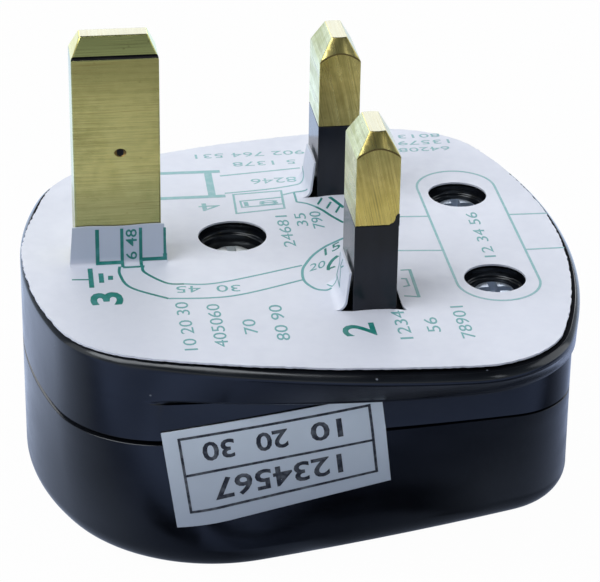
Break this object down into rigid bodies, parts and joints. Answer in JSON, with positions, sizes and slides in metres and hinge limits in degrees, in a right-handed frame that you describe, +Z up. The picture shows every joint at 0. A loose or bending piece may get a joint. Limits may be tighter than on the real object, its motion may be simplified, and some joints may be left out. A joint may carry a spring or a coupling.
{
  "type": "rewirable three-pin electrical plug",
  "caption": "Rewirable flat-pin mains plug: black two-part body with a flared pin face, solid brass pins, sleeved line and neutral pins, inner fuse, cord grip and printed card.",
  "frame": {"origin": "on the flat back that the plug rests on, in the plane of symmetry of the pins, under the middle of the line-neutral pin row", "axes": "+Z up along the pins, +X out of the cord inlet, +Y to the neutral pin's side"},
  "size_m": [0.0523, 0.0532, 0.0447],
  "materials": {
    "black_moulding": "glossy moulded thermoset",
    "card": "printed smooth card",
    "label_paper": "matt paper label",
    "pin_brass": "machined brass with fine tool lines",
    "sleeve_plastic": "matt black",
    "screw_brass": "turned brass",
    "clip_bronze": "sprung strip",
    "fuse_ceramic": "unglazed ceramic",
    "fuse_cap_metal": "plated caps",
    "grip_plastic": "dull moulded plastic",
    "zinc_steel": "bright zinc plate"
  },
  "bodies": {
    "root": {"base": "black_moulding", "cover": "black_moulding", "instruction_card": "card", "test_label": "label_paper", "earth_pin": "pin_brass", "neutral_pin": "pin_brass", "line_pin": "pin_brass", "neutral_sleeve": "sleeve_plastic", "line_sleeve": "sleeve_plastic", "earth_terminal_screw": "screw_brass", "neutral_terminal_screw": "screw_brass", "line_terminal_screw": "screw_brass", "line_terminal": "pin_brass", "fuse_clip_pin_end": "clip_bronze", "fuse_clip_terminal_end": "clip_bronze", "fuse_clip_rivets": "clip_bronze", "fuse_body": "fuse_ceramic", "fuse_cap_pin_end": "fuse_cap_metal", "fuse_cap_terminal_end": "fuse_cap_metal", "cord_grip_bar": "grip_plastic", "cord_grip_screws": "zinc_steel", "cord_grip_nuts": "zinc_steel", "cover_screw": "zinc_steel", "cover_screw_washer": "grip_plastic", "cover_insert": "screw_brass"}
  },
  "joints": []
}
